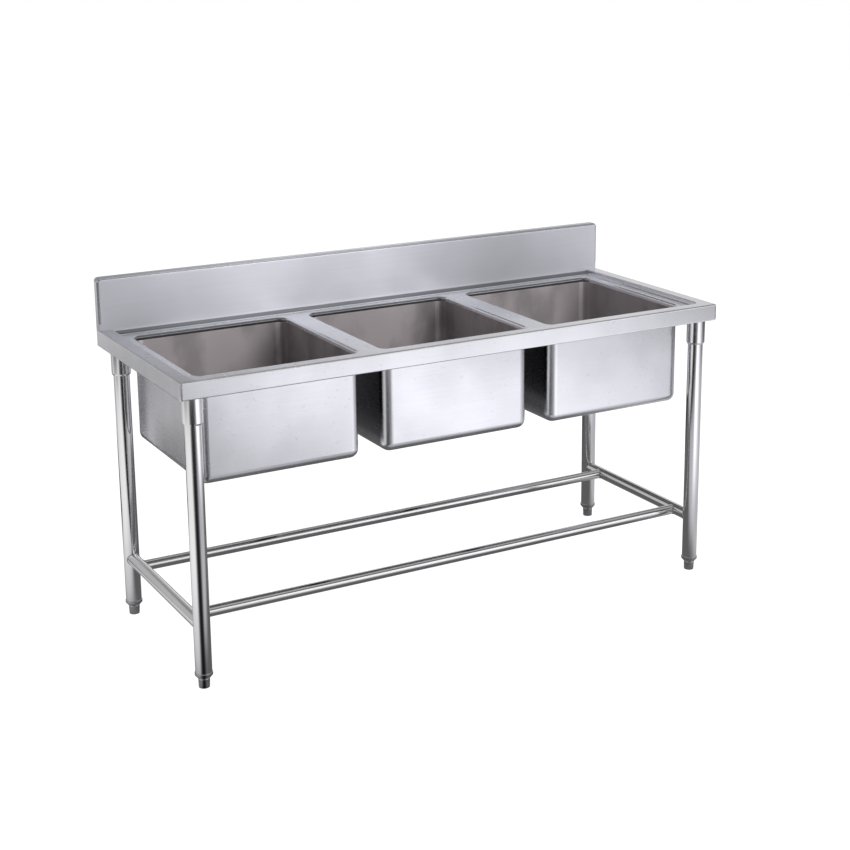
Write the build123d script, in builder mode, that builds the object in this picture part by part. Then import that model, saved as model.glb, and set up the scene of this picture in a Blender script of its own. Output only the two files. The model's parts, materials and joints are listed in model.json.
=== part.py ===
from build123d import *
import os

# Three compartment sink, in millimetres. The origin is on the floor, under the middle of the
# deck: +X runs to the right along the sink, +Y runs to the wall behind it and +Z is up.

os.makedirs("parts", exist_ok=True)

# Overall size
LENGTH = 1800
DEPTH = 700
DECK_HEIGHT = 900
SPLASH_RISE = 160
SHEET = 1.2
TOLERANCE = 0.1

# Deck: an outer rim, a ledge sunk below it, and three openings with collars that turn down
FASCIA = 52
FASCIA_LIP = 12
FASCIA_TOP_BEND = 5
FASCIA_FOOT_BEND = 4
DECK_CORNER = 8
RIM_WIDTH = 42
LEDGE_DROP = 14
LEDGE_CORNER = 20
RIM_INNER_BEND = 3
LEDGE_BEND = 4
COLLAR_BEND = 8
COLLAR_HEIGHT = 14
LEDGE_TOP = DECK_HEIGHT - LEDGE_DROP
LEDGE_UNDERSIDE = LEDGE_TOP - SHEET
RIM_UNDERSIDE = DECK_HEIGHT - SHEET
DECK_FOOT = DECK_HEIGHT - FASCIA
COLLAR_FOOT = LEDGE_TOP - COLLAR_HEIGHT

# Backsplash: a folded pan that stands on the rim, with a coved skirt down to the ledge
SPLASH_THICKNESS = 30
SPLASH_CORNER = 12
SPLASH_BEND = 9
SPLASH_REAR_LIP = 14
SPLASH_END_OVERLAP = 3.5
COVE_RADIUS = 12
COVE_TOE = 8
SPLASH_FRONT = DEPTH / 2 - SPLASH_THICKNESS
SPLASH_TOP = DECK_HEIGHT + SPLASH_RISE

# Bowls: outer sizes of the welded shells, side by side along the sink
BOWL_WIDTH = 496
BOWL_DEPTH = 524
BOWL_GAP = 76
BOWL_CORNER = 30
BOWL_FOOT_BEND = 26
BOWL_BOTTOM = 570
FLOOR_FALL = 4
FLOOR_MARGIN = 30
SUMP_RADIUS = 59.2
SUMP_DEPTH = 3.7
DRAIN_HOLE_RADIUS = 45
BOWL_PITCH = BOWL_WIDTH + BOWL_GAP
BOWL_PLACES = {"left": -BOWL_PITCH, "middle": 0, "right": BOWL_PITCH}

# Basket strainer, one in each bowl, measured down from the seat in the sump
STRAINER_SEAT = BOWL_BOTTOM - FLOOR_FALL - SUMP_DEPTH + SHEET
STRAINER_FLANGE_RADIUS = 56
STRAINER_FLANGE = 2
CUP_RADIUS = 43.5
CUP_WALL = 2
CUP_DEPTH = 31.5
CUP_FLOOR = 5
OUTLET_RADIUS = 23.9
OUTLET_BORE = 20
OUTLET_LENGTH = 24
OUTLET_SHOULDER = 10
GASKET_THICKNESS = 3
GASKET_RADIUS = 55
NUT_HEIGHT = 12
NUT_RADIUS = 52
NUT_LUGS = 6
NUT_LUG_WIDTH = 10
NUT_LUG_REACH = 58
THREAD_GAP = 0.05

# Lift-out basket and the rubber seal under it
SEAL_RADIUS = 30
SEAL_THICKNESS = 3
SEAL_EDGE = 1
BASKET_SHEET = 1.0
BASKET_FOOT_RADIUS = 33
BASKET_TOP_RADIUS = 38
BASKET_HEIGHT = 26
BASKET_RIM_RADIUS = 41
BASKET_POST_RADIUS = 3
BASKET_POST_TOP = 35
KNOB_RADIUS = 9
KNOB_HEIGHT = 10
KNOB_EDGE = 2.5
HOLE_RADIUS = 1.75
HOLE_RINGS = ((11, 8), (18, 12), (25, 18))
SLOT_COUNT = 16
SLOT_WIDTH = 3
SLOT_FOOT = 6
SLOT_HEIGHT = 14

# Legs, sockets and feet
LEG_RADIUS = 24
TUBE_WALL = 1.5
LEG_X = 852
FRONT_LEG_Y = -306
BACK_LEG_Y = 284
LEG_FOOT = 46
LEG_TOP = 856
SOCKET_RADIUS = 29
SOCKET_FOOT = 770
SOCKET_CAP = 3
SOCKET_TAPER = 5
SOCKET_TAPER_STEP = 2.5
SET_SCREW_RADIUS = 4
SET_SCREW_HEIGHT = 20
HEX_RADIUS = 2.3
HEX_DEPTH = 2.5
COLLAR_RING_RADIUS = 26
COLLAR_RING = 8
COLLAR_RING_EDGE = 1.5
COLLAR_CONE = 8
COLLAR_CONE_RADIUS = 19
COLLAR_PLUG = 34
STUD_RADIUS = 8
STUD_TOP = 100
FOOT_TOP = LEG_FOOT - COLLAR_RING - COLLAR_CONE
FOOT_TOP_RADIUS = 17
FOOT_SOLE_RADIUS = 15.5
FOOT_SOLE_EDGE = 4
LEG_PLACES = {
    "front_left": (-LEG_X, FRONT_LEG_Y),
    "front_right": (LEG_X, FRONT_LEG_Y),
    "back_left": (-LEG_X, BACK_LEG_Y),
    "back_right": (LEG_X, BACK_LEG_Y),
}

# Lower rails
RAIL_HEIGHT = 183
END_RAIL_RADIUS = 19
LONG_RAIL_RADIUS = 16
FRONT_RAIL_Y = -223
BACK_RAIL_Y = 199

# Channels folded from sheet and welded under the deck
CHANNEL_SHEET = 1.5
CHANNEL_FOOT = 861
END_CHANNEL_INNER = 828
END_CHANNEL_OUTER = 880
END_CHANNEL_LENGTH = 680
DIVIDER_CHANNEL_WIDTH = 60
DIVIDER_CHANNEL_WEB = 40
DIVIDER_CHANNEL_LENGTH = 600


def keep(piece, name):
    """Labels a finished piece and writes it as the node of that name."""
    piece.label = name
    export_step(piece, "parts/" + name + ".step")


def deck_form(inset):
    """The deck as a block under its upper surface, with every face moved in by inset."""
    back_face = DEPTH / 2 - inset
    ledge_front = -DEPTH / 2 + RIM_WIDTH - inset
    ledge_height = LEDGE_TOP - inset

    def off_the_back(edge):
        return edge.center().Y < back_face - TOLERANCE

    def on_the_ledge(face):
        return abs(face.center().Z - ledge_height) < TOLERANCE

    def inside_the_rim(edge):
        return (
            abs(edge.center().X) < LENGTH / 2 - RIM_WIDTH + inset + TOLERANCE
            and ledge_front - TOLERANCE < edge.center().Y
            and off_the_back(edge)
        )

    with BuildPart() as form:
        with BuildSketch(Plane.XY.offset(DECK_FOOT + inset)) as plan:
            Rectangle(LENGTH - 2 * inset, DEPTH - 2 * inset)
            fillet(plan.vertices().group_by(Axis.Y)[0], DECK_CORNER - inset)
        extrude(amount=FASCIA - 2 * inset)
        top_edges = form.faces().sort_by(Axis.Z)[-1].edges()
        fillet(top_edges.filter_by(off_the_back), FASCIA_TOP_BEND - inset)
        foot_edges = form.faces().sort_by(Axis.Z)[0].edges()
        fillet(foot_edges.filter_by(off_the_back), FASCIA_FOOT_BEND - inset)

        # The ledge, open at the back where the backsplash stands
        with BuildSketch(Plane.XY.offset(ledge_height)) as ledge:
            with Locations((0, ledge_front)):
                Rectangle(LENGTH - 2 * RIM_WIDTH + 2 * inset, DEPTH, align=(Align.CENTER, Align.MIN))
            fillet(ledge.vertices().group_by(Axis.Y)[0], LEDGE_CORNER + inset)
        extrude(amount=2 * LEDGE_DROP, mode=Mode.SUBTRACT)
        ledge_edges = form.faces().filter_by(on_the_ledge)[0].edges()
        fillet(ledge_edges.filter_by(off_the_back), LEDGE_BEND + inset)
        rim_edges = form.faces().sort_by(Axis.Z)[-1].edges()
        fillet(rim_edges.filter_by(inside_the_rim), RIM_INNER_BEND - inset)

        # Openings
        with BuildSketch(Plane.XY.offset(ledge_height)):
            with Locations(*[(x, 0) for x in BOWL_PLACES.values()]):
                RectangleRounded(
                    BOWL_WIDTH - 2 * SHEET + 2 * inset,
                    BOWL_DEPTH - 2 * SHEET + 2 * inset,
                    BOWL_CORNER - SHEET + inset,
                )
        extrude(amount=-FASCIA, mode=Mode.SUBTRACT)
        for opening in form.faces().filter_by(on_the_ledge)[0].inner_wires():
            fillet(opening.edges(), COLLAR_BEND - inset)
    return form.part


def make_deck():
    """The pressed top sheet: the block's skin, open below inside its folded lip."""
    with BuildPart() as deck_top:
        add(deck_form(0))
        add(deck_form(SHEET), mode=Mode.SUBTRACT)
        lip_inset = 2 * (SHEET + FASCIA_LIP)
        with BuildSketch(Plane.XY.offset(DECK_FOOT)):
            Rectangle(LENGTH - lip_inset, DEPTH - lip_inset)
        extrude(amount=COLLAR_FOOT - DECK_FOOT, mode=Mode.SUBTRACT)
    keep(deck_top.part, "deck_top")


def make_backsplash():
    """The pan behind the deck, its folded rear lip, and the coved skirt that meets the ledge."""
    pan_foot = DECK_HEIGHT - SPLASH_END_OVERLAP
    rear = DEPTH / 2
    with BuildPart() as backsplash:
        with BuildSketch(Plane.XY.offset(pan_foot)):
            with Locations((0, SPLASH_FRONT)):
                Rectangle(LENGTH, SPLASH_THICKNESS, align=(Align.CENTER, Align.MIN))
        extrude(amount=SPLASH_TOP - pan_foot)
        top_ends = backsplash.edges().filter_by(Axis.Y).group_by(Axis.Z)[-1]
        fillet(top_ends, SPLASH_CORNER)
        front_edges = backsplash.faces().sort_by(Axis.Y)[0].edges()
        fillet(front_edges.filter_by(lambda edge: edge.center().Z > pan_foot + TOLERANCE), SPLASH_BEND)
        rear_face = backsplash.faces().sort_by(Axis.Y)[-1]
        foot_face = backsplash.faces().sort_by(Axis.Z)[0]
        offset(amount=-SHEET, openings=[rear_face, foot_face])

        # Rear lip: a flat frame, open along the foot
        with BuildSketch(Plane.XZ.offset(-rear)) as lip:
            with Locations((0, DECK_HEIGHT)):
                Rectangle(LENGTH, SPLASH_RISE, align=(Align.CENTER, Align.MIN))
            fillet(lip.vertices().group_by(Axis.Y)[-1], SPLASH_CORNER)
            with Locations((0, DECK_HEIGHT)):
                Rectangle(
                    LENGTH - 2 * SPLASH_REAR_LIP,
                    SPLASH_RISE - SPLASH_REAR_LIP,
                    align=(Align.CENTER, Align.MIN),
                    mode=Mode.SUBTRACT,
                )
        extrude(amount=SHEET)

        # Skirt and cove, as wide as the sunk ledge
        skirt_half = LENGTH / 2 - RIM_WIDTH + RIM_INNER_BEND
        cove_centre = (SPLASH_FRONT - COVE_RADIUS, LEDGE_TOP + SHEET + COVE_RADIUS)
        toe_end = SPLASH_FRONT - COVE_RADIUS - COVE_TOE
        skirt_top = DECK_HEIGHT + COVE_RADIUS
        with BuildSketch(Plane.YZ.offset(-skirt_half)):
            with BuildLine():
                Polyline(
                    (SPLASH_FRONT - COVE_RADIUS, LEDGE_TOP + SHEET),
                    (toe_end, LEDGE_TOP + SHEET),
                    (toe_end, LEDGE_TOP),
                    (SPLASH_FRONT - COVE_RADIUS, LEDGE_TOP),
                )
                CenterArc(cove_centre, COVE_RADIUS + SHEET, 270, 90)
                Polyline(
                    (SPLASH_FRONT + SHEET, LEDGE_TOP + SHEET + COVE_RADIUS),
                    (SPLASH_FRONT + SHEET, skirt_top),
                    (SPLASH_FRONT, skirt_top),
                    (SPLASH_FRONT, LEDGE_TOP + SHEET + COVE_RADIUS),
                )
                CenterArc(cove_centre, COVE_RADIUS, 270, 90)
            make_face()
        extrude(amount=2 * skirt_half)
        add(deck_form(0), mode=Mode.SUBTRACT)
    keep(backsplash.part, "backsplash")


def bowl_form(x, inset):
    """One bowl as a solid block at x, with its side, foot and floor faces moved in by inset."""
    top = COLLAR_FOOT + inset
    floor = BOWL_BOTTOM + inset
    floor_width = BOWL_WIDTH - 2 * FLOOR_MARGIN
    floor_depth = BOWL_DEPTH - 2 * FLOOR_MARGIN
    with BuildPart() as form:
        with BuildSketch(Plane.XY.offset(floor)):
            with Locations((x, 0)):
                RectangleRounded(BOWL_WIDTH - 2 * inset, BOWL_DEPTH - 2 * inset, BOWL_CORNER - inset)
        extrude(amount=top - floor)
        fillet(form.faces().sort_by(Axis.Z)[0].edges(), BOWL_FOOT_BEND - inset)

        # The floor falls in four flat facets to the sump
        with BuildSketch(Plane.XY.offset(floor)):
            with Locations((x, 0)):
                Rectangle(floor_width, floor_depth)
        with BuildSketch(Plane.XY.offset(floor - FLOOR_FALL)):
            with Locations((x, 0)):
                Rectangle(2 * SUMP_RADIUS, 2 * SUMP_RADIUS * floor_depth / floor_width)
        loft()
        with BuildSketch(Plane.XY.offset(floor - FLOOR_FALL - SUMP_DEPTH)):
            with Locations((x, 0)):
                Circle(SUMP_RADIUS - inset)
        extrude(amount=FLOOR_FALL + SUMP_DEPTH)
    return form.part


def make_bowl(side, x):
    with BuildPart() as bowl:
        add(bowl_form(x, 0))
        add(bowl_form(x, SHEET), mode=Mode.SUBTRACT)
        with Locations((x, 0, BOWL_BOTTOM)):
            Cylinder(DRAIN_HOLE_RADIUS, 4 * (FLOOR_FALL + SUMP_DEPTH), mode=Mode.SUBTRACT)
    keep(bowl.part, "bowl_" + side)


def make_strainer(side, x):
    """The drain fitting of one bowl: cup with outlet, rubber gasket, ring nut, seal and basket."""
    axis = Plane(origin=(x, 0, STRAINER_SEAT), x_dir=(1, 0, 0), z_dir=(0, -1, 0))
    cup_floor = -CUP_DEPTH
    cup_foot = cup_floor - CUP_FLOOR
    outlet_top = cup_foot - OUTLET_SHOULDER
    bowl_underside = -SHEET

    with BuildPart() as body:
        with BuildSketch(axis):
            with BuildLine():
                Polyline(
                    (CUP_RADIUS - CUP_WALL, STRAINER_FLANGE),
                    (STRAINER_FLANGE_RADIUS - STRAINER_FLANGE, STRAINER_FLANGE),
                    (STRAINER_FLANGE_RADIUS, 0),
                    (CUP_RADIUS, 0),
                    (CUP_RADIUS, cup_foot),
                    (OUTLET_RADIUS, outlet_top),
                    (OUTLET_RADIUS, outlet_top - OUTLET_LENGTH),
                    (OUTLET_BORE, outlet_top - OUTLET_LENGTH),
                    (OUTLET_BORE, cup_floor),
                    (CUP_RADIUS - CUP_WALL, cup_floor),
                    close=True,
                )
            make_face()
        revolve(axis=Axis((x, 0, 0), (0, 0, 1)))
    keep(body.part, "strainer_body_" + side)

    with BuildPart() as gasket:
        with BuildSketch(Plane.XY.offset(STRAINER_SEAT + bowl_underside - GASKET_THICKNESS)):
            with Locations((x, 0)):
                Circle(GASKET_RADIUS)
                Circle(CUP_RADIUS + THREAD_GAP, mode=Mode.SUBTRACT)
        extrude(amount=GASKET_THICKNESS)
    keep(gasket.part, "strainer_gasket_" + side)

    with BuildPart() as nut:
        with BuildSketch(Plane.XY.offset(STRAINER_SEAT + bowl_underside - GASKET_THICKNESS - NUT_HEIGHT)):
            with Locations((x, 0)):
                Circle(NUT_RADIUS)
                with PolarLocations(NUT_LUG_REACH / 2, NUT_LUGS):
                    Rectangle(NUT_LUG_REACH, NUT_LUG_WIDTH)
                Circle(CUP_RADIUS + THREAD_GAP, mode=Mode.SUBTRACT)
        extrude(amount=NUT_HEIGHT)
    keep(nut.part, "strainer_nut_" + side)

    with BuildPart() as seal:
        with Locations((x, 0, STRAINER_SEAT + cup_floor)):
            Cylinder(SEAL_RADIUS, SEAL_THICKNESS, align=(Align.CENTER, Align.CENTER, Align.MIN))
        chamfer(seal.edges().sort_by(Axis.Z)[0], SEAL_EDGE)
    keep(seal.part, "basket_seal_" + side)

    make_basket(side, x, STRAINER_SEAT + cup_floor + SEAL_THICKNESS)


def make_basket(side, x, foot):
    """A perforated cup with a rim, a post and a knob, standing at height foot."""
    axis = Plane(origin=(x, 0, foot), x_dir=(1, 0, 0), z_dir=(0, -1, 0))
    with BuildPart() as basket:
        with BuildSketch(axis):
            with BuildLine():
                Polyline(
                    (0, 0),
                    (BASKET_FOOT_RADIUS, 0),
                    (BASKET_TOP_RADIUS, BASKET_HEIGHT - BASKET_SHEET),
                    (BASKET_RIM_RADIUS, BASKET_HEIGHT - BASKET_SHEET),
                    (BASKET_RIM_RADIUS, BASKET_HEIGHT),
                    (BASKET_TOP_RADIUS - BASKET_SHEET, BASKET_HEIGHT),
                    (BASKET_FOOT_RADIUS - BASKET_SHEET, BASKET_SHEET),
                    (BASKET_POST_RADIUS, BASKET_SHEET),
                    (BASKET_POST_RADIUS, BASKET_POST_TOP),
                    (0, BASKET_POST_TOP),
                    close=True,
                )
            make_face()
        revolve(axis=Axis((x, 0, 0), (0, 0, 1)))
        with Locations((x, 0, foot + BASKET_POST_TOP - KNOB_HEIGHT / 2)):
            Cylinder(KNOB_RADIUS, KNOB_HEIGHT)
        knob_rims = basket.edges().filter_by(GeomType.CIRCLE).filter_by(
            lambda edge: abs(edge.radius - KNOB_RADIUS) < TOLERANCE
        )
        fillet(knob_rims, KNOB_EDGE)
        for ring_radius, hole_count in HOLE_RINGS:
            with Locations((x, 0, foot)):
                with PolarLocations(ring_radius, hole_count):
                    Cylinder(HOLE_RADIUS, 4 * BASKET_SHEET, mode=Mode.SUBTRACT)
        with Locations((x, 0, foot + SLOT_FOOT + SLOT_HEIGHT / 2)):
            with PolarLocations(BASKET_FOOT_RADIUS, SLOT_COUNT):
                Box(4 * SLOT_WIDTH, SLOT_WIDTH, SLOT_HEIGHT, mode=Mode.SUBTRACT)
    keep(basket.part, "strainer_basket_" + side)


def make_leg(place, x, y):
    """One leg: the socket under the deck, the tube, the collar pressed into it and the foot."""
    upright = Axis((x, y, 0), (0, 0, 1))
    section = Plane(origin=(x, y, 0), x_dir=(1, 0, 0), z_dir=(0, -1, 0))
    running_radius = LEG_RADIUS + THREAD_GAP

    with BuildPart() as socket:
        with BuildSketch(section):
            with BuildLine():
                Polyline(
                    (running_radius, SOCKET_FOOT),
                    (SOCKET_RADIUS - SOCKET_TAPER_STEP, SOCKET_FOOT),
                    (SOCKET_RADIUS, SOCKET_FOOT + SOCKET_TAPER),
                    (SOCKET_RADIUS, CHANNEL_FOOT),
                    (0, CHANNEL_FOOT),
                    (0, CHANNEL_FOOT - SOCKET_CAP),
                    (running_radius, CHANNEL_FOOT - SOCKET_CAP),
                    close=True,
                )
            make_face()
        revolve(axis=upright)
        screw_plane = Plane(origin=(x, y, SOCKET_FOOT + SET_SCREW_HEIGHT), z_dir=(0, 1, 0))
        with BuildSketch(screw_plane):
            Circle(SET_SCREW_RADIUS)
        extrude(amount=2 * SOCKET_RADIUS, mode=Mode.SUBTRACT)
    keep(socket.part, "leg_socket_" + place)

    with BuildPart() as leg:
        with BuildSketch(Plane.XY.offset(LEG_FOOT)):
            with Locations((x, y)):
                Circle(LEG_RADIUS)
                Circle(LEG_RADIUS - TUBE_WALL, mode=Mode.SUBTRACT)
        extrude(amount=LEG_TOP - LEG_FOOT)
    keep(leg.part, "leg_" + place)

    with BuildPart() as collar:
        with BuildSketch(section) as profile:
            with BuildLine():
                Polyline(
                    (STUD_RADIUS + THREAD_GAP, FOOT_TOP),
                    (COLLAR_CONE_RADIUS, FOOT_TOP),
                    (COLLAR_RING_RADIUS, LEG_FOOT - COLLAR_RING),
                    (COLLAR_RING_RADIUS, LEG_FOOT),
                    (LEG_RADIUS - TUBE_WALL, LEG_FOOT),
                    (LEG_RADIUS - TUBE_WALL, LEG_FOOT + COLLAR_PLUG),
                    (STUD_RADIUS + THREAD_GAP, LEG_FOOT + COLLAR_PLUG),
                    close=True,
                )
            make_face()
            fillet(profile.vertices().group_by(Axis.X)[-1], COLLAR_RING_EDGE)
        revolve(axis=upright)
    keep(collar.part, "foot_collar_" + place)

    with BuildPart() as foot:
        with BuildSketch(section) as profile:
            with BuildLine():
                Polyline(
                    (0, 0),
                    (FOOT_SOLE_RADIUS, 0),
                    (FOOT_TOP_RADIUS, FOOT_TOP),
                    (STUD_RADIUS, FOOT_TOP),
                    (STUD_RADIUS, STUD_TOP),
                    (0, STUD_TOP),
                    close=True,
                )
            make_face()
            sole_corner = profile.vertices().group_by(Axis.Z)[0].sort_by(Axis.X)[-1]
            fillet(sole_corner, FOOT_SOLE_EDGE)
        revolve(axis=upright)
    keep(foot.part, "foot_" + place)


def make_set_screws():
    """The four grub screws, each with a hexagon recess, that press on the legs."""
    with BuildPart() as screws:
        for x, y in LEG_PLACES.values():
            leg_side = Plane(
                origin=(x, y + LEG_RADIUS, SOCKET_FOOT + SET_SCREW_HEIGHT),
                z_dir=(0, 1, 0),
            )
            with BuildSketch(leg_side):
                Circle(SET_SCREW_RADIUS)
            extrude(amount=SOCKET_RADIUS - LEG_RADIUS)
            with BuildSketch(leg_side.offset(SOCKET_RADIUS - LEG_RADIUS)):
                RegularPolygon(HEX_RADIUS, 6)
            extrude(amount=-HEX_DEPTH, mode=Mode.SUBTRACT)
    keep(screws.part, "socket_set_screws")


def make_rails():
    """Tubes between the legs, with ends cut to sit on the round tubes that they meet."""
    leg_span = BACK_LEG_Y - FRONT_LEG_Y
    for side, x in (("left", -LEG_X), ("right", LEG_X)):
        with BuildPart() as end_rail:
            with BuildSketch(Plane.XZ.offset(-FRONT_LEG_Y)):
                with Locations((x, RAIL_HEIGHT)):
                    Circle(END_RAIL_RADIUS)
                    Circle(END_RAIL_RADIUS - TUBE_WALL, mode=Mode.SUBTRACT)
            extrude(amount=-leg_span)
            with Locations((x, FRONT_LEG_Y, RAIL_HEIGHT), (x, BACK_LEG_Y, RAIL_HEIGHT)):
                Cylinder(LEG_RADIUS, 4 * END_RAIL_RADIUS, mode=Mode.SUBTRACT)
        keep(end_rail.part, "end_rail_" + side)

    for name, y in (("front_rail", FRONT_RAIL_Y), ("back_rail", BACK_RAIL_Y)):
        with BuildPart() as long_rail:
            with BuildSketch(Plane.YZ.offset(-LEG_X)):
                with Locations((y, RAIL_HEIGHT)):
                    Circle(LONG_RAIL_RADIUS)
                    Circle(LONG_RAIL_RADIUS - TUBE_WALL, mode=Mode.SUBTRACT)
            extrude(amount=2 * LEG_X)
            with Locations((-LEG_X, y, RAIL_HEIGHT), (LEG_X, y, RAIL_HEIGHT)):
                Cylinder(END_RAIL_RADIUS, 4 * LONG_RAIL_RADIUS, rotation=(90, 0, 0), mode=Mode.SUBTRACT)
        keep(long_rail.part, name)


def make_channels():
    """Folded channels under the deck: one above each pair of sockets, one under each divider."""
    for side, sign in (("left", -1), ("right", 1)):
        inner = sign * END_CHANNEL_INNER
        outer = sign * END_CHANNEL_OUTER
        fold = sign * CHANNEL_SHEET
        with BuildPart() as end_channel:
            with BuildSketch(Plane.XZ.offset(-END_CHANNEL_LENGTH / 2)):
                with BuildLine():
                    Polyline(
                        (inner, CHANNEL_FOOT),
                        (outer, CHANNEL_FOOT),
                        (outer, RIM_UNDERSIDE),
                        (outer - fold, RIM_UNDERSIDE),
                        (outer - fold, CHANNEL_FOOT + CHANNEL_SHEET),
                        (inner + fold, CHANNEL_FOOT + CHANNEL_SHEET),
                        (inner + fold, LEDGE_UNDERSIDE),
                        (inner, LEDGE_UNDERSIDE),
                        close=True,
                    )
                make_face()
            extrude(amount=END_CHANNEL_LENGTH)
        keep(end_channel.part, "end_channel_" + side)

    web_half = DIVIDER_CHANNEL_WEB / 2
    flange_half = DIVIDER_CHANNEL_WIDTH / 2
    for side, x in (("left", -BOWL_PITCH / 2), ("right", BOWL_PITCH / 2)):
        with BuildPart() as divider_channel:
            with BuildSketch(Plane.XZ.offset(-DIVIDER_CHANNEL_LENGTH / 2)) as profile:
                with BuildLine():
                    Polyline(
                        (x, CHANNEL_FOOT),
                        (x + web_half, CHANNEL_FOOT),
                        (x + web_half, LEDGE_UNDERSIDE - CHANNEL_SHEET),
                        (x + flange_half, LEDGE_UNDERSIDE - CHANNEL_SHEET),
                        (x + flange_half, LEDGE_UNDERSIDE),
                        (x + web_half - CHANNEL_SHEET, LEDGE_UNDERSIDE),
                        (x + web_half - CHANNEL_SHEET, CHANNEL_FOOT + CHANNEL_SHEET),
                        (x, CHANNEL_FOOT + CHANNEL_SHEET),
                        close=True,
                    )
                make_face()
                mirror(about=Plane.YZ.offset(x))
            extrude(amount=DIVIDER_CHANNEL_LENGTH)
        keep(divider_channel.part, "divider_channel_" + side)


make_deck()
make_backsplash()
for bowl_side, bowl_x in BOWL_PLACES.items():
    make_bowl(bowl_side, bowl_x)
    make_strainer(bowl_side, bowl_x)
for leg_place, (leg_x, leg_y) in LEG_PLACES.items():
    make_leg(leg_place, leg_x, leg_y)
make_set_screws()
make_rails()
make_channels()
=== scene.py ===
import json
import math
import random

import bpy
from mathutils import Matrix, Vector


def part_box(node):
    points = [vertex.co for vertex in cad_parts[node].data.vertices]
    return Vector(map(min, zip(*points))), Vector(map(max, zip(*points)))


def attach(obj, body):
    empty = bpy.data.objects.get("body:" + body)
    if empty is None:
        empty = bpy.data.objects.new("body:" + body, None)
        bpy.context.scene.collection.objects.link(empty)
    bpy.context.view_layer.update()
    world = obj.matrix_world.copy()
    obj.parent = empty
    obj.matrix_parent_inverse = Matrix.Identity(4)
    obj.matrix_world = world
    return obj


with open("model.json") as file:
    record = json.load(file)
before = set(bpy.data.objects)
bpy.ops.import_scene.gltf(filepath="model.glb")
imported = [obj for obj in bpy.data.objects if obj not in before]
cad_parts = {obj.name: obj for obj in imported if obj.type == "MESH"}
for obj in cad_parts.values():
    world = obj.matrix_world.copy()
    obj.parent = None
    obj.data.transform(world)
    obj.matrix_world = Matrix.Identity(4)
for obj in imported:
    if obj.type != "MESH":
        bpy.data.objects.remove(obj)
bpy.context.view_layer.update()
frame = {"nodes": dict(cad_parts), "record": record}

# ---------------------------------------------------------------- places on the sink


def middle_of(node):
    low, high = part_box(node)
    return (Vector(low) + Vector(high)) / 2


def half_width(node, axis):
    low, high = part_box(node)
    return (high[axis] - low[axis]) / 2


BOWL_PITCH = middle_of("bowl_right").x
BOWL_MIDDLE = middle_of("bowl_middle").z
FRONT_LEFT_LEG = middle_of("leg_front_left")

# ---------------------------------------------------------------- camera

CAMERA_PLACE = Vector((-2.31744, -4.28396, 2.05346))
CAMERA_YAW = -0.5178
CAMERA_PITCH = 0.2350
CAMERA_ROLL = -0.0067
CAMERA_LENS = 68.60
CAMERA_SENSOR = 36.0
CAMERA_SHIFT = (-0.0294, -0.1235)


def make_camera():
    data = bpy.data.cameras.new("camera")
    data.sensor_width = CAMERA_SENSOR
    data.lens = CAMERA_LENS
    data.shift_x, data.shift_y = CAMERA_SHIFT
    camera = bpy.data.objects.new("camera", data)
    bpy.context.scene.collection.objects.link(camera)
    level = math.cos(CAMERA_PITCH)
    back = Vector((math.sin(CAMERA_YAW) * level, -math.cos(CAMERA_YAW) * level, math.sin(CAMERA_PITCH)))
    right = Vector((math.cos(CAMERA_YAW), math.sin(CAMERA_YAW), 0))
    right = Matrix.Rotation(CAMERA_ROLL, 3, back) @ right
    up = back.cross(right)
    facing = Matrix((right, up, back)).transposed().to_4x4()
    camera.matrix_world = Matrix.Translation(CAMERA_PLACE) @ facing
    bpy.context.scene.camera = camera


# ---------------------------------------------------------------- node helpers

# The colour sockets of Blender's Mix node, whose other sockets are for numbers and vectors
MIX_FACTOR = 0
MIX_FIRST = 6
MIX_SECOND = 7
MIX_RESULT = 2


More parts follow.
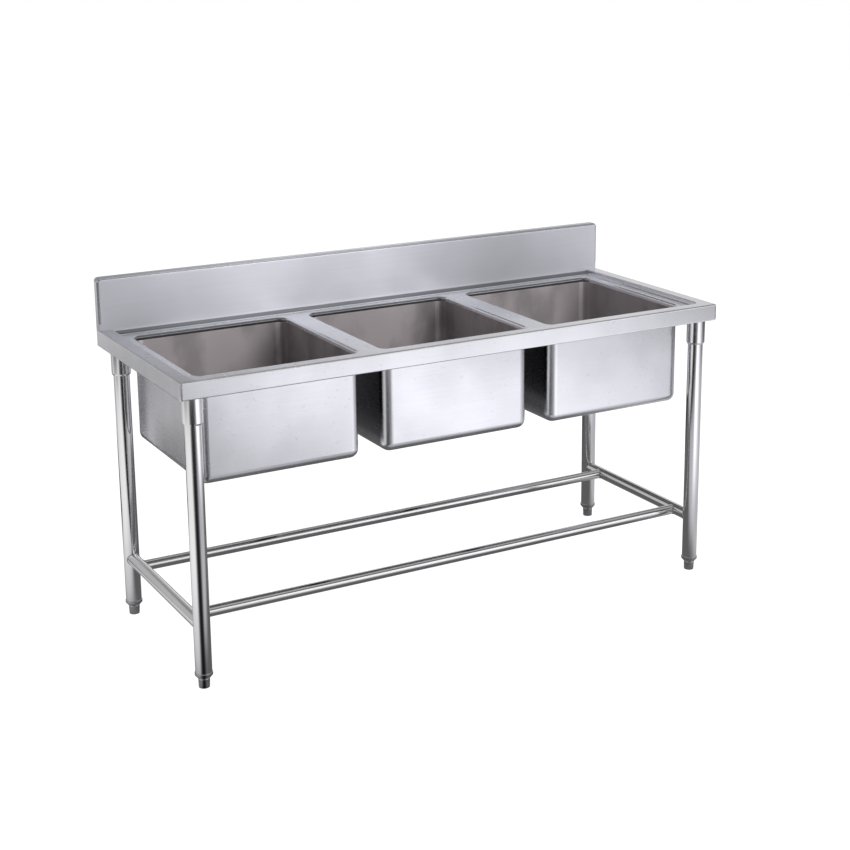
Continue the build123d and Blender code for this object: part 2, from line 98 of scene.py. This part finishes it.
class Shader:
    """A short way to write shader nodes: each method adds what it needs and returns the output."""

    def __init__(self, tree):
        self.tree = tree

    def node(self, kind, **settings):
        made = self.tree.nodes.new(kind)
        for key, value in settings.items():
            setattr(made, key, value)
        return made

    def link(self, value, socket):
        if isinstance(value, bpy.types.NodeSocket):
            self.tree.links.new(value, socket)
        else:
            socket.default_value = value

    def math(self, operation, *values):
        made = self.node("ShaderNodeMath", operation=operation)
        for value, socket in zip(values, made.inputs):
            self.link(value, socket)
        return made.outputs[0]

    def times(self, first, *others):
        for other in others:
            first = self.math("MULTIPLY", first, other)
        return first

    def change(self, mask, amount):
        """A factor that is 1 where the mask is 0, and 1 + amount where it is 1."""
        return self.math("MULTIPLY_ADD", mask, amount, 1.0)

    def mix(self, factor, first, second):
        made = self.node("ShaderNodeMix", data_type="RGBA")
        self.link(factor, made.inputs[MIX_FACTOR])
        self.link(first, made.inputs[MIX_FIRST])
        self.link(second, made.inputs[MIX_SECOND])
        return made.outputs[MIX_RESULT]

    def ramp(self, factor, stops):
        """Grey levels that ease from one stop, a place and a level, to the next."""
        made = self.node("ShaderNodeValToRGB")
        made.color_ramp.interpolation = "EASE"
        while len(made.color_ramp.elements) < len(stops):
            made.color_ramp.elements.new(0.5)
        for element, (place, level) in zip(made.color_ramp.elements, stops):
            element.position = place
            element.color = (level, level, level, 1)
        self.link(factor, made.inputs[0])
        return made.outputs[0]

    def smooth(self, value, low, high):
        """0 at low and 1 at high, whichever of them is the larger."""
        made = self.node("ShaderNodeMapRange", interpolation_type="SMOOTHSTEP")
        self.link(value, made.inputs["Value"])
        made.inputs["From Min"].default_value = low
        made.inputs["From Max"].default_value = high
        return made.outputs[0]

    def noise(self, vector, scale, detail, rough):
        made = self.node("ShaderNodeTexNoise")
        self.link(vector, made.inputs["Vector"])
        made.inputs["Scale"].default_value = scale
        made.inputs["Detail"].default_value = detail
        made.inputs["Roughness"].default_value = rough
        return made.outputs["Fac"]

    def stretched(self, vector, scale):
        made = self.node("ShaderNodeMapping")
        self.link(vector, made.inputs["Vector"])
        made.inputs["Scale"].default_value = scale
        return made.outputs[0]

    def split(self, vector):
        made = self.node("ShaderNodeSeparateXYZ")
        self.link(vector, made.inputs[0])
        return made.outputs

    def place(self):
        """The place on the object, which for every CAD node is also the place in the world."""
        return self.node("ShaderNodeTexCoord").outputs["Object"]

    def normal(self):
        return self.split(self.node("ShaderNodeNewGeometry").outputs["Normal"])


# ---------------------------------------------------------------- studio

FLOOR_SIZE = 30
FLOOR_GREY = (0.30, 0.30, 0.30, 1)
FLOOR_ROUGHNESS = 0.9
FLOOR_GLOW = 0.90

# What the steel mirrors in the floor: areas with soft edges, in metres. Of each pair of limits,
# here and in the materials, the first is where an area starts and the second where it is full.
TONES_SIZE = 60
TONES_DROP = 0.002
FLOOR_TONE = (0.52, 0.52, 0.54, 1)
LEFT_EDGE = (-0.7, -1.9)
LEFT_TONE = (0.98, 0.98, 0.98, 1)
BEHIND_SIDES = (1.8, 1.35)
BEHIND_NEAR = (0.7, 1.2)
BEHIND_FAR = (2.4, 1.9)
BEHIND_TONE = (0.035, 0.035, 0.035, 1)
# The sink's painted shadow on the mirrored floor, under it and reaching behind it
UNDER_SIDES = (1.1, 0.75)
UNDER_NEAR = (-0.85, -0.4)
UNDER_FAR = (1.6, 1.1)
UNDER_SHARE = 0.94
UNDER_SINK_PAINTED_SHADOW = (0.10, 0.10, 0.10, 1)
EDGE_SIDES = (3.0, 4.4)
EDGE_TONE = (0.10, 0.10, 0.11, 1)

# Soft ovals in the floor: middle, half sizes, steepness of the edge and tone
GREY_OVAL = ((-2.3, 3.0), (1.1, 1.5), 1.0, (0.33, 0.33, 0.34, 1))
BRIGHT_OVALS = (
    ((2.5, -3.3), (0.7, 0.5), 2.0, (1.15, 1.15, 1.2, 1)),
    ((1.7, -2.9), (0.8, 1.8), 2.0, (1.05, 1.05, 1.1, 1)),
    ((0.95, -2.9), (0.85, 1.8), 3.0, (1.38, 1.38, 1.45, 1)),
)

# A dark wedge in front of the front left leg, which draws the dark line down the tube
WEDGE_AZIMUTH = math.radians(-21)
WEDGE_HALF = math.radians(34)
WEDGE_STEEPNESS = 4.0
WEDGE_REACH = (3.7, 3.2)
WEDGE_SHARE = 0.99
WEDGE_TONE = (0.008, 0.008, 0.01, 1)

# Tones of the room round the sink, as parts of a turn: behind at 0, left at 0.25, in front at
# 0.5, right at 0.75. Overhead the tone goes by height instead.
ROOM_ROUND = (
    (0.0, 0.5),
    (0.06, 0.5),
    (0.25, 0.95),
    (0.36, 0.6),
    (0.43, 0.1),
    (0.5, 0.35),
    (0.58, 1.2),
    (0.68, 0.7),
    (0.86, 0.66),
    (0.925, 0.75),
    (0.945, 0.40),
    (1.0, 0.5),
)
ROOM_OVERHEAD = ((0.62, 0.08), (0.90, 0.50))
OVERHEAD_EDGE = (0.42, 0.58)
BACKDROP = (1.0, 1.0, 1.0, 1)

TOP_LIGHT = {"place": (0.5, -0.6, 4.2), "aim": (0, 0, 0.9), "size": (3.5, 2.5), "power": 60}
KEY_LIGHT = {"place": (1.3, -4.5, 3.0), "aim": (0, 0, 0.8), "size": (2.5, 2.0), "power": 260}


def stage_plane(name, size, height=0.0):
    mesh = bpy.data.meshes.new(name)
    h = size / 2
    mesh.from_pydata([(-h, -h, 0), (h, -h, 0), (h, h, 0), (-h, h, 0)], [], [(0, 1, 2, 3)])
    obj = bpy.data.objects.new(name, mesh)
    obj.location.z = height
    bpy.context.scene.collection.objects.link(obj)
    return obj


def make_floor():
    """The white floor that the camera and the light see, but mirror reflections don't."""
    floor = stage_plane("floor", FLOOR_SIZE)
    floor.visible_glossy = False
    material = bpy.data.materials.new("floor")
    material.use_nodes = True
    bsdf = material.node_tree.nodes["Principled BSDF"]
    bsdf.inputs["Base Color"].default_value = FLOOR_GREY
    bsdf.inputs["Roughness"].default_value = FLOOR_ROUGHNESS
    bsdf.inputs["Specular IOR Level"].default_value = 0.0
    bsdf.inputs["Emission Color"].default_value = (1, 1, 1, 1)
    bsdf.inputs["Emission Strength"].default_value = FLOOR_GLOW
    floor.data.materials.append(material)


def oval(s, x, y, middle, radii, steepness):
    """1 at the middle of a soft oval on the floor, falling to 0 outside it."""
    u = s.math("DIVIDE", s.math("SUBTRACT", x, middle[0]), radii[0])
    v = s.math("DIVIDE", s.math("SUBTRACT", y, middle[1]), radii[1])
    spread = s.math("POWER", s.math("ADD", s.times(u, u), s.times(v, v)), steepness)
    return s.math("EXPONENT", s.times(spread, -1.0))


def wedge(s, x, y):
    """1 in the middle of the dark wedge that starts at the front left leg."""
    u = s.math("SUBTRACT", x, FRONT_LEFT_LEG.x)
    v = s.math("SUBTRACT", y, FRONT_LEFT_LEG.y)
    azimuth = s.math("ARCTAN2", u, s.times(v, -1.0))
    spread = s.math("DIVIDE", s.math("SUBTRACT", azimuth, WEDGE_AZIMUTH), WEDGE_HALF)
    spread = s.math("POWER", s.math("ABSOLUTE", spread), WEDGE_STEEPNESS)
    reach = s.math("SQRT", s.math("ADD", s.times(u, u), s.times(v, v)))
    return s.times(s.math("EXPONENT", s.times(spread, -1.0)), s.smooth(reach, *WEDGE_REACH))


def make_floor_tones():
    """A second floor, seen by mirror reflections only: the soft dark and bright areas of a studio."""
    tones = stage_plane("floor_tones", TONES_SIZE, -TONES_DROP)
    tones.visible_camera = False
    tones.visible_diffuse = False
    tones.visible_shadow = False
    tones.visible_transmission = False
    material = bpy.data.materials.new("floor_tones")
    material.use_nodes = True
    tree = material.node_tree
    tree.nodes.clear()
    s = Shader(tree)
    x, y, _ = s.split(s.node("ShaderNodeNewGeometry").outputs["Position"])
    sideways = s.math("ABSOLUTE", x)
    middle, radii, steepness, colour = GREY_OVAL
    tone = s.mix(s.smooth(x, *LEFT_EDGE), FLOOR_TONE, LEFT_TONE)
    tone = s.mix(oval(s, x, y, middle, radii, steepness), tone, colour)
    behind = s.times(
        s.smooth(sideways, *BEHIND_SIDES), s.smooth(y, *BEHIND_NEAR), s.smooth(y, *BEHIND_FAR)
    )
    tone = s.mix(behind, tone, BEHIND_TONE)
    for middle, radii, steepness, colour in BRIGHT_OVALS:
        tone = s.mix(oval(s, x, y, middle, radii, steepness), tone, colour)
    # painted shadow of the sink on the floor that the steel mirrors
    under = s.times(
        s.smooth(sideways, *UNDER_SIDES), s.smooth(y, *UNDER_NEAR), s.smooth(y, *UNDER_FAR)
    )
    tone = s.mix(s.times(under, UNDER_SHARE), tone, UNDER_SINK_PAINTED_SHADOW)
    tone = s.mix(s.times(wedge(s, x, y), WEDGE_SHARE), tone, WEDGE_TONE)
    tone = s.mix(s.smooth(sideways, *EDGE_SIDES), tone, EDGE_TONE)
    emission = s.node("ShaderNodeEmission")
    s.link(tone, emission.inputs["Color"])
    out = s.node("ShaderNodeOutputMaterial")
    s.link(emission.outputs[0], out.inputs["Surface"])
    tones.data.materials.append(material)


def make_world():
    """The room as the steel mirrors it, and a plain white backdrop for the camera."""
    world = bpy.data.worlds.new("studio")
    world.use_nodes = True
    tree = world.node_tree
    tree.nodes.clear()
    s = Shader(tree)
    x, y, z = s.split(s.node("ShaderNodeTexCoord").outputs["Generated"])
    azimuth = s.math("ARCTAN2", x, s.times(y, -1.0))
    turn = s.math("ADD", s.math("DIVIDE", azimuth, 2 * math.pi), 0.5)
    tone = s.mix(s.smooth(z, *OVERHEAD_EDGE), s.ramp(turn, ROOM_ROUND), s.ramp(z, ROOM_OVERHEAD))
    tone = s.mix(s.node("ShaderNodeLightPath").outputs["Is Camera Ray"], tone, BACKDROP)
    back = s.node("ShaderNodeBackground")
    s.link(tone, back.inputs["Color"])
    out = s.node("ShaderNodeOutputWorld")
    s.link(back.outputs[0], out.inputs["Surface"])
    bpy.context.scene.world = world


def softbox(name, place, aim, size, power):
    """An area light that the steel doesn't mirror."""
    data = bpy.data.lights.new(name, "AREA")
    data.shape = "RECTANGLE"
    data.size, data.size_y = size
    data.energy = power
    light = bpy.data.objects.new(name, data)
    light.location = place
    light.rotation_mode = "QUATERNION"
    light.rotation_quaternion = (Vector(aim) - Vector(place)).to_track_quat("-Z", "Y")
    light.visible_glossy = False
    bpy.context.scene.collection.objects.link(light)


# ---------------------------------------------------------------- steel

# The surface of any steel: the scale, detail and roughness of its noises, and their effects
LINES = (1.0, 3.0, 0.6)
CLOUDS = (4.0, 2.0, 0.5)
CLOUD_RANGE = (0.3, 0.7)
SMEARS = (23.0, 4.0, 0.6)
SCUFFS = (31.0, 6.0, 0.7)
SCUFF_STRETCH = (1.0, 1.0, 2.5)
SCUFF_RANGE = (0.60, 0.70)
WAVES = (3.5, 1.0, 0.4)
WAVE_STRENGTH = 0.35
LINE_DEPTH = 0.0002
ROUGH_SHARE = 0.86
ROUGH_LINES = 0.16
ROUGH_SMEARS = 0.12
ROUGH_SCUFFS = 0.25

# Brushing lines, as noise scales along x, y and z: low along the lines, high across them
SHEET_GRAIN = (5, 320, 320)
SPLASH_GRAIN = (3, 320, 320)
CHANNEL_GRAIN = (300, 8, 300)
TURNED_GRAIN = (60, 60, 900)
PRESSED_GRAIN = (300, 300, 300)
CAST_GRAIN = (200, 200, 200)
SMALL_WAVES = 0.0001

# Shared by the sheet materials. A mask on a normal tells flat faces from bends, and a shade, lift
# or loss is the change that a mask makes where it is full.
SHEET_ROUGHNESS = 0.26
FLAT_NORMAL = (0.90, 0.99)
TOP_NORMAL = (0.6, 0.9)


def steel(name, colour, rough, grain, bump=0.1, cloudy=0.2, streaky=0.1, metal=1.0, waves=0.0012):
    """A brushed, softly clouded and scuffed surface on slightly wavy sheet.

    Returns the material, its Shader, its BSDF, the node that scales its colour, and that scale.
    """
    material = bpy.data.materials.new(name)
    material.use_nodes = True
    s = Shader(material.node_tree)
    bsdf = material.node_tree.nodes["Principled BSDF"]
    place = s.place()
    lines = s.noise(s.stretched(place, grain), *LINES)
    clouds = s.smooth(s.noise(place, *CLOUDS), *CLOUD_RANGE)
    smears = s.noise(place, *SMEARS)
    scuffs = s.smooth(s.noise(s.stretched(place, SCUFF_STRETCH), *SCUFFS), *SCUFF_RANGE)
    s.link(metal, bsdf.inputs["Metallic"])
    streaks = s.math("MULTIPLY_ADD", lines, -streaky, 1.0 + streaky / 2)
    shade = s.times(s.change(clouds, -cloudy), streaks)
    tint = s.node("ShaderNodeVectorMath", operation="SCALE")
    s.link(colour, tint.inputs[0])
    s.link(shade, tint.inputs["Scale"])
    s.link(tint.outputs[0], bsdf.inputs["Base Color"])
    spread = s.math("MULTIPLY_ADD", lines, rough * ROUGH_LINES, rough * ROUGH_SHARE)
    spread = s.math("MULTIPLY_ADD", smears, rough * ROUGH_SMEARS, spread)
    spread = s.math("MULTIPLY_ADD", scuffs, rough * ROUGH_SCUFFS, spread)
    s.link(spread, bsdf.inputs["Roughness"])
    fine = s.node("ShaderNodeBump")
    fine.inputs["Strength"].default_value = bump
    fine.inputs["Distance"].default_value = LINE_DEPTH
    s.link(lines, fine.inputs["Height"])
    wave = s.node("ShaderNodeBump")
    wave.inputs["Strength"].default_value = WAVE_STRENGTH
    wave.inputs["Distance"].default_value = waves
    s.link(s.noise(place, *WAVES), wave.inputs["Height"])
    s.link(fine.outputs[0], wave.inputs["Normal"])
    s.link(wave.outputs[0], bsdf.inputs["Normal"])
    return material, s, bsdf, tint, shade


# The backsplash, whose coved skirt is what lies below SKIRT_TOP. Its painted light and shade run
# along the sheet, from 0 at a metre left of the middle to 1 at a metre right of it.
SKIRT_TOP = 0.92
SPLASH_COLOUR = (0.80, 0.81, 0.88)
SPLASH_ROUGHNESS = 0.42
COVE_NORMAL = (0.15, 0.45)
BEND_METAL = 0.85
FACE_METAL_LOSS = -0.35
BEND_POLISH = 0.5
# Painted shade: how far the dark line at the foot of the cove darkens the sheet
COVE_PAINTED_SHADE = -0.72
SPLASH_PAINTED_LIGHT = ((0.03, 0.62), (0.28, 1.05), (0.50, 0.98), (0.75, 0.60), (0.92, 0.70))


def splash_steel():
    """The splash sheet: its broad face is more softly finished than its polished bends."""
    material, s, bsdf, tint, shade = steel(
        "splash_steel",
        SPLASH_COLOUR,
        SPLASH_ROUGHNESS,
        SPLASH_GRAIN,
        bump=0.03,
        cloudy=0.10,
        streaky=0.10,
    )
    normal = s.normal()
    x, _, z = s.split(s.place())
    low = s.math("LESS_THAN", z, SKIRT_TOP)
    flat = s.smooth(s.math("ABSOLUTE", normal[1]), *FLAT_NORMAL)
    face = s.math("MAXIMUM", flat, low)
    # painted shade: a dark line along the upward-facing foot of the cove
    cove = s.times(s.smooth(normal[2], *COVE_NORMAL), low)
    s.link(s.math("MULTIPLY_ADD", face, FACE_METAL_LOSS, BEND_METAL), bsdf.inputs["Metallic"])
    rough = bsdf.inputs["Roughness"].links[0].from_socket
    polish = s.math("MULTIPLY_ADD", face, 1.0 - BEND_POLISH, BEND_POLISH)
    s.link(s.times(rough, polish), bsdf.inputs["Roughness"])
    # painted light and shade: the sheet's colour rises and falls along its length
    along = s.math("MULTIPLY_ADD", x, 0.5, 0.5)
    tone = s.times(s.ramp(along, SPLASH_PAINTED_LIGHT), s.change(cove, COVE_PAINTED_SHADE))
    s.link(s.times(shade, tone), tint.inputs["Scale"])
    return material


# The deck: its turned-down collars at the back of the bowls lie between these limits and get painted
# shade; its right part gets painted light and its left rim painted shade
DECK_COLOUR = (0.82, 0.82, 0.85)
COLLAR_TOP = 0.8859
COLLAR_BACK = 0.3
COLLAR_FRONT = 0.2
COLLAR_NORMAL = (-0.1, -0.5)
COLLAR_PAINTED_SHADE = -0.6
RIGHT_START = (-0.10, 0.18)
RIGHT_PAINTED_LIGHT = 0.18
LEFT_RIM = (-0.845, -0.865)
LEFT_RIM_PAINTED_SHADE = -0.22


def deck_steel():
    """The deck: painted shade on the turned-down edges behind the bowls and the left rim, painted light
    on the right.
    """
    material, s, _, tint, shade = steel(
        "deck_steel", DECK_COLOUR, SHEET_ROUGHNESS, SHEET_GRAIN, bump=0.02, cloudy=0.10, streaky=0.05
    )
    normal = s.normal()
    x, y, z = s.split(s.place())
    inside = s.times(
        s.math("LESS_THAN", z, COLLAR_TOP),
        s.math("LESS_THAN", y, COLLAR_BACK),
        s.math("GREATER_THAN", y, COLLAR_FRONT),
    )
    collar = s.times(inside, s.smooth(normal[1], *COLLAR_NORMAL))
    left_rim = s.times(s.smooth(x, *LEFT_RIM), s.smooth(normal[2], *TOP_NORMAL))
    # painted shade on the collars and the left rim, painted light on the right part
    tone = s.times(
        s.change(collar, COLLAR_PAINTED_SHADE),
        s.change(s.smooth(x, *RIGHT_START), RIGHT_PAINTED_LIGHT),
        s.change(left_rim, LEFT_RIM_PAINTED_SHADE),
    )
    s.link(s.times(shade, tone), tint.inputs["Scale"])
    return material


# The bowls: places are measured from the middle of each one, but heights from the floor
BOWL_OUTSIDE = (0.83, 0.83, 0.865)
BOWL_WALL = (0.585, 0.54, 0.555, 1)
BOWL_FLOOR = (0.63, 0.61, 0.62, 1)
FLOOR_NORMAL = (0.4, 0.9)
CORNER_HIGHLIGHT_STRIP = ((0.213, 0.218), (0.231, 0.227))
END_WALL = (0.240, 0.250)
CORNER_PAINTED_HIGHLIGHT = 0.5
CORNER_BEND = (0.229, 0.238)
CORNER_PAINTED_SHADE = -0.35
MIRRORED_WALL = (0.10, 0.205)
BACK_WALL = (0.24, 0.26)
MIRRORED_PAINTED_REFLECTION = -0.28
STAINS = (9.0, 3.0, 0.55)
STAIN_STRETCH = (1.0, 1.0, 0.6)
STAIN_RANGE = (0.42, 0.68)
STAIN_FLOOR_LOSS = -0.8
STAIN_SHADE = -0.30
GAP_REACH = 0.045
GAP_HEIGHT = (0.55, 0.68)
GAP_PAINTED_SHADE = -0.65
INSIDE_METAL_LOSS = -0.42
INSIDE_DULLING = 0.45


def local_bowl(s, place):
    """Place measured from the middle of the bowl that it is in."""
    x, y, z = s.split(place)
    number = s.math("ROUND", s.math("DIVIDE", x, BOWL_PITCH))
    return (
        s.math("SUBTRACT", x, s.times(number, BOWL_PITCH)),
        y,
        s.math("SUBTRACT", z, BOWL_MIDDLE),
    )


def inner_face(s, local):
    """1 on the inner faces of the three bowls, 0 on their outer faces."""
    join = s.node("ShaderNodeCombineXYZ")
    for value, socket in zip(local, join.inputs):
        s.link(value, socket)
    dot = s.node("ShaderNodeVectorMath", operation="DOT_PRODUCT")
    s.link(join.outputs[0], dot.inputs[0])
    s.link(s.node("ShaderNodeNewGeometry").outputs["True Normal"], dot.inputs[1])
    return s.math("LESS_THAN", dot.outputs["Value"], 0.0)


def bowl_steel():
    """The bowls: bright outside, duller and warmer inside, with painted light and shade in places."""
    material, s, bsdf, tint, shade = steel(
        "bowl_steel", BOWL_OUTSIDE, SHEET_ROUGHNESS, SHEET_GRAIN, bump=0.02, cloudy=0.14, streaky=0.05
    )
    place = s.place()
    local = local_bowl(s, place)
    inner = inner_face(s, local)
    normal = s.normal()
    level = s.smooth(s.math("ABSOLUTE", normal[2]), *FLOOR_NORMAL)
    inside = s.mix(level, BOWL_WALL, BOWL_FLOOR)
    s.link(s.mix(inner, (*BOWL_OUTSIDE, 1), inside), tint.inputs[0])

    # painted highlight by the corners, painted shade in their bends, painted reflection of the side on
    # the back wall
    across = s.math("ABSOLUTE", local[0])
    strip = s.times(s.smooth(across, *CORNER_HIGHLIGHT_STRIP[0]), s.smooth(across, *CORNER_HIGHLIGHT_STRIP[1]), inner)
    # weld marks a painted highlight: a light strip on the end walls beside each corner
    weld = s.times(strip, s.smooth(s.math("ABSOLUTE", local[1]), *END_WALL))
    bend = s.times(s.smooth(across, *CORNER_BEND), inner)
    mirrored = s.times(s.smooth(local[0], *MIRRORED_WALL), s.smooth(local[1], *BACK_WALL), inner)

    # stained side walls
    stain = s.smooth(s.noise(s.stretched(place, STAIN_STRETCH), *STAINS), *STAIN_RANGE)
    stain = s.times(stain, inner, s.change(level, STAIN_FLOOR_LOSS))

    # painted shade on the outer sides where two bowls face each other, fading towards their bottoms
    x, _, z = s.split(place)
    from_gap = s.math("ABSOLUTE", s.math("SUBTRACT", s.math("ABSOLUTE", x), BOWL_PITCH / 2))
    gap = s.times(
        s.math("LESS_THAN", from_gap, GAP_REACH),
        s.smooth(s.math("ABSOLUTE", normal[0]), *FLAT_NORMAL),
        s.math("SUBTRACT", 1.0, inner),
        s.smooth(z, *GAP_HEIGHT),
    )
    tone = s.times(
        s.change(weld, CORNER_PAINTED_HIGHLIGHT),
        s.change(bend, CORNER_PAINTED_SHADE),
        s.change(mirrored, MIRRORED_PAINTED_REFLECTION),
        s.change(stain, STAIN_SHADE),
        s.change(gap, GAP_PAINTED_SHADE),
    )
    s.link(s.times(shade, tone), tint.inputs["Scale"])
    s.link(s.change(inner, INSIDE_METAL_LOSS), bsdf.inputs["Metallic"])
    rough = bsdf.inputs["Roughness"].links[0].from_socket
    s.link(s.times(rough, s.change(inner, INSIDE_DULLING)), bsdf.inputs["Roughness"])
    return material


# ---------------------------------------------------------------- welds

BEAD_RADIUS = 0.0017
BEAD_RIPPLE = 0.0003
BEAD_WANDER = 0.6
BEAD_SIDES = 8
RIPPLE_PITCH = 0.0032
RINGS_PER_RIPPLE = 4
FEWEST_RINGS = 12
CURVE_STEPS = 720
DRAW = random.Random(11)


def full_turn(steps):
    return [2 * math.pi * step / steps for step in range(steps)]


def evenly(points, step):
    """The closed curve through points, walked in equal steps of about the given length."""
    lengths = [(b - a).length for a, b in zip(points, points[1:] + points[:1])]
    total = sum(lengths)
    count = max(FEWEST_RINGS, round(total / step))
    walked, index, out = 0.0, 0, []
    for number in range(count):
        target = total * number / count
        while walked + lengths[index] < target:
            walked += lengths[index]
            index += 1
        share = (target - walked) / lengths[index]
        out.append(points[index].lerp(points[(index + 1) % len(points)], share))
    return out


def bead_rings(path):
    """The corners of the bead's rings, one ring round each point of its closed path."""
    middle = sum(path, Vector()) / len(path)
    wander = 0.0
    for number, here in enumerate(path):
        ahead = (path[(number + 1) % len(path)] - path[number - 1]).normalized()
        side = ahead.cross((here - middle).normalized()).normalized()
        out = side.cross(ahead)
        phase = (number % RINGS_PER_RIPPLE) / RINGS_PER_RIPPLE
        if phase == 0:
            wander = DRAW.uniform(-BEAD_WANDER, BEAD_WANDER)
        size = BEAD_RADIUS + BEAD_RIPPLE * (math.cos(2 * math.pi * phase) + wander)
        for turn in full_turn(BEAD_SIDES):
            yield here + (out * math.cos(turn) + side * math.sin(turn)) * size


def weld_bead(name, points, look):
    """A rippled fillet of weld metal along a closed curve."""
    path = evenly(points, RIPPLE_PITCH / RINGS_PER_RIPPLE)
    faces = []
    for ring in range(len(path)):
        here, after = ring * BEAD_SIDES, (ring + 1) % len(path) * BEAD_SIDES
        for corner in range(BEAD_SIDES):
            beside = (corner + 1) % BEAD_SIDES
            faces.append((here + corner, after + corner, after + beside, here + beside))
    mesh = bpy.data.meshes.new(name)
    mesh.from_pydata(list(bead_rings(path)), [], faces)
    mesh.polygons.foreach_set("use_smooth", [True] * len(faces))
    mesh.materials.append(look)
    obj = bpy.data.objects.new(name, mesh)
    bpy.context.scene.collection.objects.link(obj)
    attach(obj, "sink")


def weld_rail_to_leg(leg_name, rail_name, inward, look):
    """The bead where the round end of an end rail meets the round leg."""
    rail, rail_radius = middle_of(rail_name), half_width(rail_name, 2)
    leg, leg_radius = middle_of(leg_name), half_width(leg_name, 0)
    curve = []
    for turn in full_turn(CURVE_STEPS):
        across = rail_radius * math.cos(turn)
        reach = inward * math.sqrt(leg_radius**2 - across**2)
        curve.append(Vector((leg.x + across, leg.y + reach, rail.z + rail_radius * math.sin(turn))))
    weld_bead(f"weld_{leg_name}_rail", curve, look)


def weld_socket(socket_name, look):
    """The bead round the top of a leg socket, under the channel that carries it."""
    socket, radius = middle_of(socket_name), half_width(socket_name, 0)
    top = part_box(socket_name)[1][2]
    ring = [
        Vector((socket.x + radius * math.cos(turn), socket.y + radius * math.sin(turn), top))
        for turn in full_turn(CURVE_STEPS)
    ]
    weld_bead(f"weld_{socket_name}", ring, look)


def weld_long_rail(long_rail, side, inward, look):
    """The bead where a long rail meets the end rail on one side."""
    end_rail = f"end_rail_{side}"
    rail, rail_radius = middle_of(end_rail), half_width(end_rail, 2)
    tube, tube_radius = middle_of(long_rail), half_width(long_rail, 2)
    curve = []
    for turn in full_turn(CURVE_STEPS):
        rise = tube_radius * math.sin(turn)
        reach = inward * math.sqrt(rail_radius**2 - rise**2)
        curve.append(Vector((rail.x + reach, tube.y + tube_radius * math.cos(turn), rail.z + rise)))
    weld_bead(f"weld_{long_rail}_{side}", curve, look)


def make_welds(look):
    for side, inward in (("left", 1), ("right", -1)):
        for end, along in (("front", 1), ("back", -1)):
            weld_rail_to_leg(f"leg_{end}_{side}", f"end_rail_{side}", along, look)
            weld_socket(f"leg_socket_{end}_{side}", look)
        for long_rail in ("front_rail", "back_rail"):
            weld_long_rail(long_rail, side, inward, look)


# ---------------------------------------------------------------- the scene

make_camera()
bpy.context.scene.view_settings.view_transform = "Standard"
make_floor()
make_floor_tones()
make_world()
softbox("top_light", **TOP_LIGHT)
softbox("key_light", **KEY_LIGHT)

looks = {
    "satin_steel": deck_steel(),
    "splash_steel": splash_steel(),
    "bowl_steel": bowl_steel(),
    "channel_steel": steel("channel_steel", (0.60, 0.60, 0.61), 0.42, CHANNEL_GRAIN)[0],
    "polished_tube": steel(
        "polished_tube", (0.85, 0.84, 0.85), 0.12, TURNED_GRAIN, 0.03, 0.05, 0.04, waves=SMALL_WAVES
    )[0],
    "foot_steel": steel(
        "foot_steel", (0.62, 0.62, 0.63), 0.22, TURNED_GRAIN, 0.2, waves=SMALL_WAVES
    )[0],
    "fitting_steel": steel(
        "fitting_steel", (0.72, 0.72, 0.72), 0.18, PRESSED_GRAIN, 0.05, waves=SMALL_WAVES
    )[0],
    "nut_brass": steel("nut_brass", (0.58, 0.50, 0.34), 0.45, CAST_GRAIN, 0.3)[0],
    "rubber": steel("rubber", (0.03, 0.03, 0.03), 0.7, CAST_GRAIN, 0.3, metal=0.0)[0],
    "weld_steel": steel(
        "weld_steel", (0.66, 0.64, 0.62), 0.30, PRESSED_GRAIN, 0.3, 0.3, waves=SMALL_WAVES
    )[0],
    "screw_steel": steel("screw_steel", (0.35, 0.35, 0.36), 0.3, PRESSED_GRAIN)[0],
}
for part in frame["record"]["subparts"]:
    name, look = part["node"], part["material_slot"]
    if name == "backsplash":
        look = "splash_steel"
    if name.startswith("bowl_"):
        look = "bowl_steel"
    materials = frame["nodes"][name].data.materials
    materials.clear()
    materials.append(looks[look])

make_welds(looks["weld_steel"])
